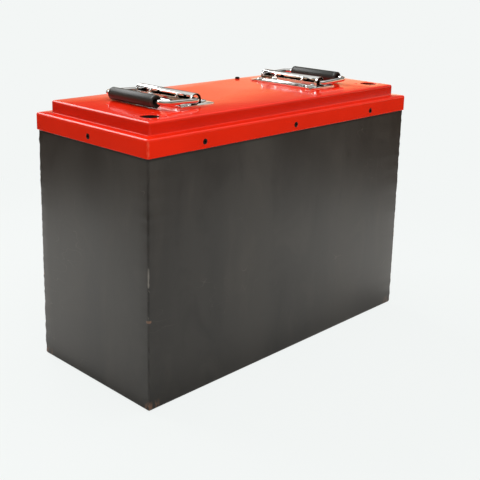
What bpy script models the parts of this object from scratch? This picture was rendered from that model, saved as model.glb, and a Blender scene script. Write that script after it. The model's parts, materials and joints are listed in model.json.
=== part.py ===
"""A lithium battery pack in a painted steel case: a deep box, a stepped lid with two folding handles, two
recessed terminals, and the cell block, battery management board and cables inside.

Frame: X along the length, Y across the width with the front at -Y, Z up, origin at the middle of the base.
Lengths are written in millimetres and turned into metres by MM.
"""

import math

import bmesh
import bpy
from mathutils import Matrix

MM = 0.001
GAP = 0.3  # clearance between pieces that rest on or pass through each other

# Case and lid
LENGTH, WIDTH, HEIGHT = 384.0, 170.0, 280.0  # over the lid skirt, and up to the folded grips
SHEET = 1.0
CASE_X, CASE_Y = LENGTH / 2 - SHEET - GAP, WIDTH / 2 - SHEET - GAP
CORNER = 2.4
BEND, FOOT_BEND = 2.0, 3.4
LIP = 8.0
LID_TOP, LEDGE_TOP, SKIRT_BOTTOM = 267.0, 255.0, 238.0
LEDGE, LEDGE_FILLET = 11.0, 0.6
GASKET_THICK = 2.2
CASE_TOP = LEDGE_TOP - SHEET - GASKET_THICK - 2 * GAP
SCREW_Z = 244.5
SCREW_PITCH = 125.0
SCREW_HEAD_R, SCREW_SHANK_R, SCREW_LENGTH = 2.6, 1.5, 8.0

# Handles
HANDLE_X = {"left": -91.0, "right": 96.5}
HANDLE_Y = 6.0
PLATE_X, PLATE_Y, PLATE_THICK, PLATE_CORNER = 21.0, 47.0, 1.2, 4.0
AXIS_Z = LID_TOP + 5.2
BARREL_R, BARREL_Y = 5.4, 41.7
ROD_R = 2.5
ARM_Y = 44.6
GRIP_R, GRIP_HALF = 6.3, 33.0
GRIP_REACH = 42.0
GRIP_Z = HEIGHT - GRIP_R
STUB_END = 35.0
BAIL_ELBOW, BAIL_SHOULDER = 3.6, 7.0
RIVET_X, RIVET_Y, RIVET_R, RIVET_HEAD_R, RIVET_TAIL_R = 13.9, 36.4, 1.9, 3.8, 2.9
WINDOWS = ((-39.2, -21.0), (-18.6, 18.6), (21.0, 39.2))
WINDOW_LOW, WINDOW_HIGH = 0.6, 4.2  # above the hinge axis

# Terminals and vent
TERMINAL_X = {"positive": -161.0, "negative": 165.5}
TERMINAL_Y = -51.0
TERMINAL_HOLE_R, PEG_PITCH, PEG_R = 9.0, 10.0, 1.4
CUP_R, CUP_BORE_R, CUP_BOTTOM, CUP_FLOOR = 10.6, 8.4, 247.0, 3.0
CUP_FLANGE, CUP_FLANGE_THICK = 12.0, 2.0
INSERT_R, INSERT_STEM_R, INSERT_BORE_R = 6.6, 4.0, 3.4
INSERT_TOP, INSERT_BOTTOM = 257.0, 241.0
VENT_X, VENT_Y, VENT_R, VENT_STEM_R = 72.0, 69.0, 2.7, 1.8

# Cell block
CELLS = 8
CELL_X, CELL_Y, CELL_Z = 36.1, 130.3, 200.0
CELL_EDGE, CELL_RIM = 2.0, 0.8
CELL_START = -178.0
CELL_FLOOR = 6.4
POST_Y, POST_R, POST_TALL = 44.0, 8.0, 3.0
CELL_VENT_R, CELL_VENT_TALL = 6.0, 0.6
CELL_PITCH = CELL_X + GAP
BUSBAR_THICK, BUSBAR_Y = 2.0, 9.0
END_PLATE = 8.0
STRAP_THICK, STRAP_TALL = 0.9, 16.0
STRAP_Z = (50.0, 145.0)
BLOCK_END = CELL_START + CELLS * CELL_PITCH - GAP
MANAGEMENT_X = BLOCK_END + 2 * GAP + END_PLATE + STRAP_THICK + 6.0
BOARD_THICK, BOARD_Y, BOARD_LOW, BOARD_TOP = 1.6, 48.0, 30.0, 196.0
SINK_TOP, SINK_BASE, SINK_DEEP, SINK_FINS = 180.0, 4.0, 12.0, 7
CABLE_R = 3.6

ROUND = 16  # sides of small round pieces
PIN_ROUND = 12  # sides of the smallest ones
CORNERS = ((-1, -1), (-1, 1), (1, -1), (1, 1))


def material(name, colour, roughness, metallic=0.0):
    made = bpy.data.materials.new(name)
    made.use_nodes = True
    shader = made.node_tree.nodes["Principled BSDF"]
    shader.inputs["Base Color"].default_value = (*colour, 1.0)
    shader.inputs["Roughness"].default_value = roughness
    shader.inputs["Metallic"].default_value = metallic
    return made


def place(name, data, finish, at=(0, 0, 0), turn=(0, 0, 0), parent=None):
    """An object at a place in millimetres, turned by degrees about X, Y and Z."""
    made = bpy.data.objects.new(name, data)
    bpy.context.scene.collection.objects.link(made)
    made.location = [value * MM for value in at]
    made.rotation_euler = [math.radians(value) for value in turn]
    if finish is not None and not data.materials:
        data.materials.append(finish)
    if parent is not None:
        made.parent = parent
    return made


def empty(name, at, turn_z=0.0):
    made = bpy.data.objects.new(name, None)
    bpy.context.scene.collection.objects.link(made)
    made.location = [value * MM for value in at]
    made.rotation_euler = (0.0, 0.0, math.radians(turn_z))
    return made


def circle(radius, steps=ROUND):
    angles = [2 * math.pi * (i + 0.5) / steps for i in range(steps)]
    return [(radius * math.cos(a), radius * math.sin(a)) for a in angles]


def rounded_rectangle(half_x, half_y, radius, steps=3):
    """Corner arcs joined by straight sides, anticlockwise."""
    points = []
    for corner in range(4):
        centre_x = (half_x - radius) * (1 if corner in (0, 3) else -1)
        centre_y = (half_y - radius) * (1 if corner in (0, 1) else -1)
        for step in range(steps + 1):
            angle = math.pi / 2 * (corner + step / steps)
            points.append((centre_x + radius * math.cos(angle), centre_y + radius * math.sin(angle)))
    return points


def finish_mesh(name, shape, smooth_angle=32.0):
    bmesh.ops.recalc_face_normals(shape, faces=shape.faces)
    mesh = bpy.data.meshes.new(name)
    shape.to_mesh(mesh)
    shape.free()
    mesh.shade_smooth()
    mesh.set_sharp_from_angle(angle=math.radians(smooth_angle))
    return mesh


def add_loft(shape, loops, ring=False):
    """Joins loops of (points, height) one after another, with end caps, or as a ring with none."""
    rows = [[shape.verts.new((x * MM, y * MM, z * MM)) for x, y in points] for points, z in loops]
    pairs = list(zip(rows, rows[1:]))
    if ring:
        pairs.append((rows[-1], rows[0]))
    else:
        shape.faces.new(rows[0])
        shape.faces.new(rows[-1])
    for low, high in pairs:
        for i in range(len(low)):
            j = (i + 1) % len(low)
            shape.faces.new((low[i], low[j], high[j], high[i]))


def loft(name, loops, ring=False):
    shape = bmesh.new()
    add_loft(shape, loops, ring)
    return finish_mesh(name, shape)


def turned(name, profile, steps=ROUND):
    """A solid turned about Z from (radius, height) points."""
    return loft(name, [(circle(radius, steps), height) for radius, height in profile])


def block(name, low, high, bevel=0.0):
    shape = bmesh.new()
    bmesh.ops.create_cube(shape, size=1.0)
    size = [(b - a) * MM for a, b in zip(low, high)]
    middle = [(a + b) / 2 * MM for a, b in zip(low, high)]
    bmesh.ops.transform(shape, matrix=Matrix.Diagonal((*size, 1.0)), verts=shape.verts)
    bmesh.ops.translate(shape, vec=middle, verts=shape.verts)
    if bevel:
        bmesh.ops.bevel(shape, geom=list(shape.edges), offset=bevel * MM, segments=1, affect="EDGES")
    return finish_mesh(name, shape)


def cutter(name, mesh, at=(0, 0, 0), turn=(0, 0, 0), parent=None):
    made = place(name, mesh, None, at, turn, parent)
    made.hide_render = True
    made.display_type = "WIRE"
    return made


def boolean(target, tool, operation="DIFFERENCE"):
    step = target.modifiers.new(tool.name, "BOOLEAN")
    step.operation = operation
    step.object = tool


def add_column(shape, x, y, radius, low, high, steps=ROUND):
    loop = [(x + a, y + b) for a, b in circle(radius, steps)]
    add_loft(shape, [(loop, low), (loop, high)])


def add_box(shape, low, high):
    loop = [(low[0], low[1]), (high[0], low[1]), (high[0], high[1]), (low[0], high[1])]
    add_loft(shape, [(loop, low[2]), (loop, high[2])])


def rod(name, points, radius, finish, sides, at=(0, 0, 0), turn=(0, 0, 0), parent=None):
    """A round bar along a run of points in millimetres."""
    curve = bpy.data.curves.new(name, "CURVE")
    curve.dimensions = "3D"
    curve.bevel_depth = radius * MM
    curve.bevel_resolution = sides // 2 - 2
    curve.use_fill_caps = True
    line = curve.splines.new("POLY")
    line.points.add(len(points) - 1)
    for point, place_mm in zip(line.points, points):
        point.co = (*[value * MM for value in place_mm], 1.0)
    return place(name, curve, finish, at, turn, parent)


def arc(centre, radius, start, end, steps):
    """Points of an arc in the X-Y plane, angles in degrees."""
    found = []
    for i in range(steps + 1):
        angle = math.radians(start + (end - start) * i / steps)
        found.append((centre[0] + radius * math.cos(angle), centre[1] + radius * math.sin(angle), 0.0))
    return found


def bend_profile(half, level, inward, upward, radius, steps=3):
    """(half-size change, height) points round a sheet bend of one radius."""
    points = []
    for i in range(steps + 1):
        angle = math.pi / 2 * i / steps
        across = half + inward * radius * (1 - math.cos(angle))
        points.append((across, level + upward * radius * math.sin(angle)))
    return points


# ---------------------------------------------------------------- case and lid


def shell_loops(profile, half_x, half_y):
    """Rounded-rectangle loops for (inset, height) points measured from the outer size."""
    loops = []
    for inset, height in profile:
        loops.append((rounded_rectangle(half_x - inset, half_y - inset, max(CORNER - inset, 0.8)), height))
    return loops


def make_case(paint):
    """A folded and welded box, open at the top, with an inward lip for the gasket."""
    inner_bend = FOOT_BEND - SHEET
    profile = [(SHEET + inner_bend, SHEET), (SHEET, SHEET + inner_bend)]
    profile += [(SHEET, CASE_TOP - SHEET), (LIP, CASE_TOP - SHEET), (LIP, CASE_TOP), (BEND / 2, CASE_TOP)]
    profile += [(0.0, CASE_TOP - BEND / 2)]
    profile += bend_profile(0.0, FOOT_BEND, 1, -1, FOOT_BEND)
    case = place("case_body", loft("case_body", shell_loops(profile, CASE_X, CASE_Y)), paint)
    shape = bmesh.new()
    add_screw_holes(shape, SCREW_SHANK_R + GAP, 6.0)
    boolean(case, cutter("case_holes", finish_mesh("case_holes", shape)))


def screw_places():
    """(name, x, y, angle about Z of the outward direction from -Y) for each lid screw."""
    places = []
    for i, x in enumerate((-SCREW_PITCH, 0.0, SCREW_PITCH)):
        places.append((f"front_{i + 1}", x, -WIDTH / 2, 0.0))
        places.append((f"rear_{i + 1}", x, WIDTH / 2, 180.0))
    places.append(("left", -LENGTH / 2, 0.0, -90.0))
    places.append(("right", LENGTH / 2, 0.0, 90.0))
    return places


def add_screw_holes(shape, mouth_radius, depth):
    """Holes for the lid screws from a depth behind the skirt's face, opening to the mouth at the face."""
    hole_radius = SCREW_SHANK_R + GAP
    profile = [(hole_radius, -depth), (hole_radius, -SHEET), (mouth_radius, 0.0), (mouth_radius, 2.0)]
    for _, x, y, angle in screw_places():
        before = set(shape.verts)
        add_loft(shape, [(circle(radius), height) for radius, height in profile])
        made = [vert for vert in shape.verts if vert not in before]
        lay_down = Matrix.Rotation(math.radians(90), 4, "X")
        aim = Matrix.Rotation(math.radians(angle), 4, "Z")
        shift = Matrix.Translation((x * MM, y * MM, SCREW_Z * MM))
        bmesh.ops.transform(shape, matrix=shift @ aim @ lay_down, verts=made)


def make_lid(paint):
    """A stepped pressed lid: skirt, ledge, riser and top plate, all of one sheet."""
    profile = [(LEDGE + BEND, LID_TOP - SHEET), (LEDGE + SHEET, LID_TOP - BEND)]
    profile += [(LEDGE + SHEET, LEDGE_TOP - SHEET), (BEND, LEDGE_TOP - SHEET), (SHEET, LEDGE_TOP - BEND)]
    profile += [(SHEET, SKIRT_BOTTOM), (0.0, SKIRT_BOTTOM)]
    profile += bend_profile(0.0, LEDGE_TOP - BEND, 1, 1, BEND)
    profile += [(LEDGE - LEDGE_FILLET, LEDGE_TOP), (LEDGE, LEDGE_TOP + LEDGE_FILLET)]
    profile += bend_profile(LEDGE, LID_TOP - BEND, 1, 1, BEND)
    lid = place("lid", loft("lid", shell_loops(profile, LENGTH / 2, WIDTH / 2)), paint)
    shape = bmesh.new()
    low, high = LID_TOP - 4.0, LID_TOP + 4.0
    for x in TERMINAL_X.values():
        add_column(shape, x, TERMINAL_Y, TERMINAL_HOLE_R, low, high, 24)
        for side_x, side_y in CORNERS:
            peg_x, peg_y = x + side_x * PEG_PITCH, TERMINAL_Y + side_y * PEG_PITCH
            add_column(shape, peg_x, peg_y, PEG_R + GAP, low, high, PIN_ROUND)
    for x in HANDLE_X.values():
        for side_x, side_y in CORNERS:
            rivet_x, rivet_y = x + side_x * RIVET_X, HANDLE_Y + side_y * RIVET_Y
            add_column(shape, rivet_x, rivet_y, RIVET_R + GAP, low, high, PIN_ROUND)
    add_column(shape, VENT_X, VENT_Y, VENT_STEM_R + GAP, low, high, PIN_ROUND)
    add_screw_holes(shape, SCREW_HEAD_R + GAP, 3.0)
    boolean(lid, cutter("lid_holes", finish_mesh("lid_holes", shape)))


def make_gasket(foam):
    """A foam strip on the case lip, pressed by the lid's ledge."""
    outer = rounded_rectangle(CASE_X - 0.8, CASE_Y - 0.8, 1.6)
    inner = rounded_rectangle(CASE_X - LIP + 0.6, CASE_Y - LIP + 0.6, 1.0)
    low, high = CASE_TOP + GAP, LEDGE_TOP - SHEET - GAP
    loops = [(outer, low), (outer, high), (inner, high), (inner, low)]
    place("lid_gasket", loft("lid_gasket", loops, True), foam)


def make_lid_screws(steel):
    """Countersunk screws with a socket, just below the skirt's face."""
    face = -0.05
    profile = [(SCREW_SHANK_R - 0.5, -SCREW_LENGTH), (SCREW_SHANK_R, -SCREW_LENGTH + 0.6)]
    profile += [(SCREW_SHANK_R, -SHEET - 0.1), (SCREW_HEAD_R, face)]
    profile += [(SCREW_SHANK_R * 0.87, face), (SCREW_SHANK_R * 0.73, -SHEET - GAP)]
    mesh = turned("lid_screw", profile, PIN_ROUND)
    for name, x, y, angle in screw_places():
        place(f"lid_screw_{name}", mesh, steel, (x, y, SCREW_Z), (90, 0, angle))


def make_vent(rubber):
    """A push-in vent plug near the lid's rear edge."""
    low = LID_TOP - SHEET
    profile = [(VENT_STEM_R * 0.7, low - 3.0), (VENT_STEM_R, low - 1.6)]
    profile += [(VENT_STEM_R, LID_TOP + GAP), (VENT_R, LID_TOP + GAP)]
    profile += [(VENT_R, LID_TOP + 1.2), (VENT_R * 0.8, LID_TOP + 2.0), (VENT_R * 0.4, LID_TOP + 2.4)]
    place("vent_plug", turned("vent_plug", profile, 14), rubber, (VENT_X, VENT_Y, 0))


# ---------------------------------------------------------------- handles


def bridge_outline():
    """The folded sheet's outline across the plate: flange, barrel and flange, outside then inside."""
    outer_r = BARREL_R + PLATE_THICK
    low, high = LID_TOP + GAP - AXIS_Z, LID_TOP + GAP + PLATE_THICK - AXIS_Z
    angles = [math.pi * i / 10 for i in range(11)]
    outside = [(-outer_r * math.cos(a), outer_r * math.sin(a)) for a in angles]
    inside = [(BARREL_R * math.cos(a), BARREL_R * math.sin(a)) for a in angles]
    outline = [(-PLATE_X, low), (-PLATE_X, high), (-outer_r, high)] + outside
    outline += [(outer_r, high), (PLATE_X, high), (PLATE_X, low), (BARREL_R, low)]
    return outline + inside + [(-BARREL_R, low)]


def handle_plate_mesh():
    """The outline above drawn along Y over the barrel's length."""
    shape = bmesh.new()
    rows = []
    for y in (-BARREL_Y, BARREL_Y):
        rows.append([shape.verts.new((x * MM, y * MM, z * MM)) for x, z in bridge_outline()])
    count = len(rows[0])
    for i in range(count):
        j = (i + 1) % count
        shape.faces.new((rows[0][i], rows[0][j], rows[1][j], rows[1][i]))
    shape.faces.new(rows[0])
    shape.faces.new(rows[1])
    return finish_mesh("handle_plate", shape)


def plate_end_mesh():
    """The flat ends of the plate beyond the barrel, with their two cut corners each."""
    shape = bmesh.new()
    low, high = LID_TOP + GAP - AXIS_Z, LID_TOP + GAP + PLATE_THICK - AXIS_Z
    inner, overlap = PLATE_X - PLATE_CORNER, 0.4
    for side in (-1, 1):
        start, shoulder = side * (BARREL_Y - overlap), side * (PLATE_Y - PLATE_CORNER)
        loop = [(-PLATE_X, start), (-PLATE_X, shoulder), (-inner, side * PLATE_Y)]
        loop += [(inner, side * PLATE_Y), (PLATE_X, shoulder), (PLATE_X, start)]
        add_loft(shape, [(loop, low), (loop, high)])
    return finish_mesh("plate_ends", shape)


def handle_cut_mesh():
    """Windows through the barrel's two shoulders, and the rivet holes."""
    shape = bmesh.new()
    for start, end in WINDOWS:
        add_box(shape, (-PLATE_X / 2, start, WINDOW_LOW), (PLATE_X / 2, end, WINDOW_HIGH))
    for side_x, side_y in CORNERS:
        add_column(shape, side_x * RIVET_X, side_y * RIVET_Y, RIVET_R + GAP, -8.0, -2.5, PIN_ROUND)
    return finish_mesh("handle_cuts", shape)


def bail_points():
    """The bail's centre line: a stub along the axis, an arm, the bar under the grip, and back."""
    half = [(0.0, -STUB_END, 0.0), (0.0, -ARM_Y + BAIL_ELBOW, 0.0)]
    half += arc((BAIL_ELBOW, -ARM_Y + BAIL_ELBOW), BAIL_ELBOW, 180, 270, 4)[1:]
    half += arc((GRIP_REACH - BAIL_SHOULDER, -ARM_Y + BAIL_SHOULDER), BAIL_SHOULDER, 270, 360, 5)
    other = [(x, -y, z) for x, y, z in reversed(half)]
    return half + other


def make_handles(chrome, rubber):
    plate = handle_plate_mesh()
    ends = plate_end_mesh()
    cuts = handle_cut_mesh()
    bore, rim, grip_round = circle(ROD_R + GAP, 20), circle(GRIP_R - 0.8, 20), circle(GRIP_R, 20)
    grip_loops = [(bore, -GRIP_HALF), (rim, -GRIP_HALF), (grip_round, -GRIP_HALF + 0.8)]
    grip_loops += [(grip_round, GRIP_HALF - 0.8), (rim, GRIP_HALF), (bore, GRIP_HALF)]
    grip = loft("grip", grip_loops, True)
    rivet_top = LID_TOP + 2 * GAP + PLATE_THICK
    rivet_low = LID_TOP - SHEET - GAP
    rivet_profile = [(RIVET_TAIL_R, rivet_low - 1.2), (RIVET_TAIL_R, rivet_low)]
    rivet_profile += [(RIVET_R, rivet_low), (RIVET_R, rivet_top), (RIVET_HEAD_R, rivet_top)]
    rivet_profile += [(RIVET_HEAD_R * 0.86, rivet_top + 1.2), (RIVET_HEAD_R * 0.4, rivet_top + 2.0)]
    rivet = turned("handle_rivet", rivet_profile, PIN_ROUND)
    rise = math.degrees(math.asin((GRIP_Z - AXIS_Z) / GRIP_REACH))
    for name, x in HANDLE_X.items():
        facing = 180.0 if x < 0 else 0.0
        axis = empty(f"{name}_handle_axis", (x, HANDLE_Y, AXIS_Z), facing)
        base = place(f"{name}_handle_plate", plate.copy(), chrome, parent=axis)
        boolean(base, cutter(f"{name}_plate_ends", ends, parent=axis), "UNION")
        boolean(base, cutter(f"{name}_handle_cuts", cuts, parent=axis))
        rod(f"{name}_bail", bail_points(), ROD_R, chrome, 12, turn=(0, -rise, 0), parent=axis)
        reach = GRIP_REACH * math.cos(math.radians(rise))
        place(f"{name}_grip", grip, rubber, (reach, 0, GRIP_Z - AXIS_Z), (90, 0, 0), axis)
        for number, (side_x, side_y) in enumerate(CORNERS, start=1):
            spot = (x + side_x * RIVET_X, HANDLE_Y + side_y * RIVET_Y, 0)
            place(f"{name}_handle_rivet_{number}", rivet, chrome, spot)


# ---------------------------------------------------------------- terminals


def make_terminals(plastic, brass):
    """A moulded cup under each round lid opening, pegged to the lid, with a threaded brass insert."""
    flange_top = LID_TOP - SHEET - GAP
    floor_top = CUP_BOTTOM + CUP_FLOOR
    pegs = bmesh.new()
    for side_x, side_y in CORNERS:
        peg_x, peg_y = side_x * PEG_PITCH, side_y * PEG_PITCH
        add_column(pegs, peg_x, peg_y, PEG_R, flange_top - 1.0, LID_TOP - 0.9, PIN_ROUND)
    peg_mesh = finish_mesh("cup_pegs", pegs)
    well_mesh = turned("cup_well", [(CUP_BORE_R, floor_top), (CUP_BORE_R, LID_TOP)], 24)
    floor_profile = [(INSERT_STEM_R + GAP, CUP_BOTTOM - 2.0), (INSERT_STEM_R + GAP, floor_top + 2.0)]
    floor_hole = turned("cup_floor_hole", floor_profile)
    barrel = turned("cup_barrel", [(CUP_R, CUP_BOTTOM), (CUP_R, flange_top - 1.0)], 24)
    seat = floor_top + GAP
    insert_profile = [(INSERT_STEM_R, INSERT_BOTTOM), (INSERT_STEM_R, seat), (INSERT_R, seat)]
    insert_profile += [(INSERT_R, INSERT_TOP - 0.4), (INSERT_R - 0.4, INSERT_TOP)]
    insert_profile += [(INSERT_BORE_R + 0.4, INSERT_TOP), (INSERT_BORE_R, INSERT_TOP - 0.4)]
    insert_profile += [(INSERT_BORE_R, INSERT_TOP - 9.0)]
    insert = turned("terminal_insert", insert_profile, 20)
    low = (-CUP_FLANGE, -CUP_FLANGE, flange_top - CUP_FLANGE_THICK)
    high = (CUP_FLANGE, CUP_FLANGE, flange_top)
    for name, x in TERMINAL_X.items():
        spot = (x, TERMINAL_Y, 0)
        cup = place(f"{name}_terminal_cup", block("terminal_cup", low, high), plastic, spot)
        boolean(cup, cutter(f"{name}_cup_barrel", barrel, spot), "UNION")
        boolean(cup, cutter(f"{name}_cup_pegs", peg_mesh, spot), "UNION")
        boolean(cup, cutter(f"{name}_cup_well", well_mesh, spot))
        boolean(cup, cutter(f"{name}_cup_floor", floor_hole, spot))
        place(f"{name}_terminal_insert", insert, brass, spot)


# ---------------------------------------------------------------- cell block


def cell_centre(index):
    return CELL_START + CELL_X / 2 + index * CELL_PITCH


def cell_mesh():
    """One prismatic cell can, without its posts."""
    profile = [(CELL_RIM, 0.0), (0.0, CELL_RIM), (0.0, CELL_Z - CELL_RIM), (CELL_RIM, CELL_Z)]
    loops = []
    for inset, height in profile:
        half_x, half_y = CELL_X / 2 - inset, CELL_Y / 2 - inset
        loops.append((rounded_rectangle(half_x, half_y, CELL_EDGE, 2), height))
    return loft("cell", loops)


def make_cells(film, aluminium):
    """A row of cells, every other one turned round, with posts, vent caps and bars in series."""
    can = cell_mesh()
    posts = bmesh.new()
    for side in (-1, 1):
        add_column(posts, 0, side * POST_Y, POST_R, CELL_Z - 2.0, CELL_Z + POST_TALL)
    add_column(posts, 0, 0, CELL_VENT_R, CELL_Z - 2.0, CELL_Z + CELL_VENT_TALL, PIN_ROUND)
    post_mesh = finish_mesh("cell_posts", posts)
    for i in range(CELLS):
        spot = (cell_centre(i), 0, CELL_FLOOR)
        turn = (0, 0, 180.0 * (i % 2))
        cell = place(f"cell_{i + 1}", can, film, spot, turn)
        boolean(cell, cutter(f"cell_{i + 1}_posts", post_mesh, spot, turn), "UNION")
    bar_low = CELL_FLOOR + CELL_Z + POST_TALL + GAP
    bar_shape = rounded_rectangle(CELL_PITCH / 2 + POST_R, BUSBAR_Y, 4.0)
    bar = loft("busbar", [(bar_shape, bar_low), (bar_shape, bar_low + BUSBAR_THICK)])
    for i in range(CELLS - 1):
        side = 1 if i % 2 == 0 else -1
        middle = (cell_centre(i) + cell_centre(i + 1)) / 2
        place(f"busbar_{i + 1}", bar, aluminium, (middle, side * POST_Y, 0))


def make_block_frame(resin, foam, strap_steel, board_green):
    """End plates, straps, foam pads and the insulating board that hold and cover the cells."""
    half_y = CELL_Y / 2
    top = CELL_FLOOR + CELL_Z
    left, right = CELL_START - GAP, BLOCK_END + GAP
    plate_low, plate_high = CELL_FLOOR, top - 6.0
    low, high = (left - END_PLATE, -half_y, plate_low), (left, half_y, plate_high)
    place("end_plate_left", block("end_plate_left", low, high, 1.0), resin)
    low, high = (right, -half_y, plate_low), (right + END_PLATE, half_y, plate_high)
    place("end_plate_right", block("end_plate_right", low, high, 1.0), resin)
    middle, half_x = (left + right) / 2, (right - left) / 2 + END_PLATE + GAP
    inner = rounded_rectangle(half_x, half_y + GAP, 0.8)
    outer = rounded_rectangle(half_x + STRAP_THICK, half_y + GAP + STRAP_THICK, 1.6)
    loops = [(outer, 0.0), (outer, STRAP_TALL), (inner, STRAP_TALL), (inner, 0.0)]
    strap = loft("strap", loops, True)
    for number, height in enumerate(STRAP_Z, start=1):
        place(f"strap_{number}", strap, strap_steel, (middle, 0, height))
    pad_in = half_y + 2 * GAP + STRAP_THICK
    pad_out = CASE_Y - SHEET - GAP
    for name, side in (("front", -1), ("rear", 1)):
        near, far = sorted((side * pad_in, side * pad_out))
        low, high = (left, near, CELL_FLOOR + 2.0), (right, far, top - 8.0)
        place(f"side_pad_{name}", block(f"side_pad_{name}", low, high, 1.2), foam)
    floor = (CASE_X - FOOT_BEND - 0.4, CASE_Y - FOOT_BEND - 0.4)
    pad_low, pad_high = SHEET + GAP, CELL_FLOOR - GAP
    sheet = rounded_rectangle(*floor, 2.0)
    place("bottom_pad", loft("bottom_pad", [(sheet, pad_low), (sheet, pad_high)]), foam)
    board_low = top + POST_TALL + BUSBAR_THICK + 2 * GAP
    low, high = (left, -half_y, board_low), (right, half_y, board_low + BOARD_THICK)
    board = place("cell_cover_board", block("cell_cover_board", low, high), board_green)
    slot = bmesh.new()
    around = POST_R + 3.0
    for x in (cell_centre(0), cell_centre(CELLS - 1)):
        low = (x - around, -half_y - 2.0, board_low - 3.0)
        add_box(slot, low, (x + around, -POST_Y + around, board_low + 3.0))
    boolean(board, cutter("cover_board_slots", finish_mesh("cover_board_slots", slot)))


def make_management_board(board_green, aluminium):
    """The battery management board and its finned heatsink, upright beside the right wall."""
    base_x, fin_x = MANAGEMENT_X + SINK_BASE, MANAGEMENT_X + SINK_DEEP
    pitch = 2 * BOARD_Y / SINK_FINS
    outline = [(MANAGEMENT_X, -BOARD_Y), (MANAGEMENT_X, BOARD_Y)]
    for i in range(SINK_FINS):
        fin_start = BOARD_Y - i * pitch
        fin_end = fin_start - pitch * 0.4
        outline += [(fin_x, fin_start), (fin_x, fin_end), (base_x, fin_end), (base_x, fin_start - pitch)]
    place("bms_heatsink", loft("bms_heatsink", [(outline, BOARD_LOW), (outline, SINK_TOP)]), aluminium)
    board_x = MANAGEMENT_X - GAP
    low, high = (board_x - BOARD_THICK, -BOARD_Y, BOARD_LOW), (board_x, BOARD_Y, BOARD_TOP)
    place("bms_board", block("bms_board", low, high), board_green)


def blend(p, q, r, s, t):
    """The Catmull-Rom value at t of the way from q to r."""
    square = (2 * p - 5 * q + 4 * r - s) * t ** 2
    cube = (3 * q - p - 3 * r + s) * t ** 3
    return 0.5 * (2 * q + (r - p) * t + square + cube)


def smooth_route(points, per_span=6):
    """A smooth curve through the inner points, with a straight piece at each end."""
    route = [points[0]]
    for i in range(1, len(points) - 2):
        near = points[i - 1:i + 3]
        for step in range(per_span):
            route.append(tuple(blend(*values, step / per_span) for values in zip(*near)))
    return route + points[-2:]


def make_cables(red, black):
    """Heavy leads from the end cells and the management board to the two terminals."""
    post_top = CELL_FLOOR + CELL_Z + POST_TALL + GAP
    first, last = cell_centre(0), cell_centre(CELLS - 1)
    post = -POST_Y
    stem = INSERT_BOTTOM - GAP
    board_x = MANAGEMENT_X - GAP - BOARD_THICK / 2
    lead_x = MANAGEMENT_X + 16.0
    positive = [(first, post, post_top), (first, post, post_top + 12)]
    positive += [(TERMINAL_X["positive"], TERMINAL_Y, stem - 12)]
    positive += [(TERMINAL_X["positive"], TERMINAL_Y, stem)]
    rod("positive_cable", smooth_route(positive), CABLE_R, red, 8)
    block_lead = [(last, post, post_top), (last, post, post_top + 9)]
    block_lead += [(last + 12, post + 4, post_top + 17), (board_x - 8, post + 20, post_top + 16)]
    block_lead += [(board_x, post + 26, post_top + 4)]
    block_lead += [(board_x, post + 26, BOARD_TOP + GAP)]
    rod("cell_to_bms_cable", smooth_route(block_lead), CABLE_R, black, 8)
    output = [(lead_x, -20.0, 182.5), (lead_x, -20.0, 196.0), (lead_x + 4, -32.0, 214.0)]
    output += [(TERMINAL_X["negative"], TERMINAL_Y, stem - 12)]
    output += [(TERMINAL_X["negative"], TERMINAL_Y, stem)]
    rod("bms_to_terminal_cable", smooth_route(output), CABLE_R, black, 8)


def main():
    for old in list(bpy.data.objects):
        bpy.data.objects.remove(old)
    case_black = material("case_black", (0.035, 0.034, 0.032), 0.45)
    lid_red = material("lid_red", (0.72, 0.035, 0.015), 0.28)
    chrome = material("chrome_steel", (0.78, 0.78, 0.77), 0.12, 1.0)
    grip_rubber = material("grip_rubber", (0.045, 0.047, 0.045), 0.5)
    black_oxide = material("black_oxide", (0.02, 0.02, 0.022), 0.4, 0.6)
    moulded_black = material("moulded_black", (0.015, 0.015, 0.016), 0.45)
    brass = material("brass", (0.75, 0.55, 0.25), 0.3, 1.0)
    foam = material("black_foam", (0.03, 0.03, 0.03), 0.9)
    aluminium = material("bare_aluminium", (0.8, 0.8, 0.81), 0.3, 1.0)
    cell_blue = material("cell_film", (0.03, 0.12, 0.42), 0.35)
    resin = material("resin_board", (0.62, 0.6, 0.42), 0.5)
    board_green = material("board_green", (0.03, 0.2, 0.07), 0.4)
    cable_red = material("cable_red", (0.6, 0.02, 0.02), 0.45)
    cable_black = material("cable_black", (0.02, 0.02, 0.02), 0.45)
    make_case(case_black)
    make_lid(lid_red)
    make_gasket(foam)
    make_lid_screws(black_oxide)
    make_vent(moulded_black)
    make_handles(chrome, grip_rubber)
    make_terminals(moulded_black, brass)
    make_cells(cell_blue, aluminium)
    make_block_frame(resin, foam, aluminium, board_green)
    make_management_board(board_green, aluminium)
    make_cables(cable_red, cable_black)


main()
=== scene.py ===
"""Looks for the battery pack: smooth pressed-steel shells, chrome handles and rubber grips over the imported
CAD frame, a pale floor, soft light and the camera. Lengths are metres in the frame's own axes."""

import json
import math

import bmesh
import bpy
from mathutils import Matrix, Vector, noise


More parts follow.
